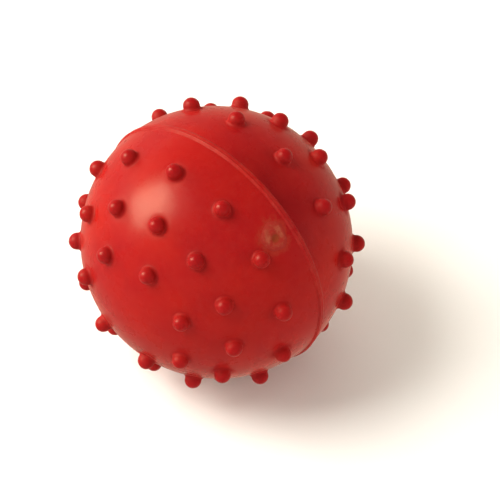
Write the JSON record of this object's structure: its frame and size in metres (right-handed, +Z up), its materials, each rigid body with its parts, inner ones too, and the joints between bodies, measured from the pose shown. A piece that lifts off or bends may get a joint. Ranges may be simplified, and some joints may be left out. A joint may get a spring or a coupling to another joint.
{
  "type": "rubber ball",
  "caption": "Hollow moulded rubber ball in two cemented half shells, with low domed nubs all over and a raised parting rib round its middle.",
  "frame": {"origin": "the centre of the ball, at the centre of its bounding box", "axes": "Y is the mould axis through the two bare poles, with the front half shell towards -Y; X and Z lie in the parting plane, and +Z is up as the ball lies with its parting rib upright"},
  "size_m": [0.0653, 0.0626, 0.0651],
  "materials": {
    "red_rubber": "satin moulded rubber, faintly mottled, with a soft broad sheen",
    "cured_cement": "satin trimmed rubber, slightly paler and duller than the body",
    "gum_rubber": "soft tacky natural gum rubber, translucent amber",
    "tan_sealing_dab": "dried rubber solution, lumpy and matt, tan over red"
  },
  "bodies": {
    "root": {"front_half_shell": "red_rubber", "rear_half_shell": "red_rubber", "seam_bond_ring": "cured_cement", "inner_sealing_plug": "gum_rubber", "needle_hole_seal": "tan_sealing_dab"}
  },
  "joints": []
}
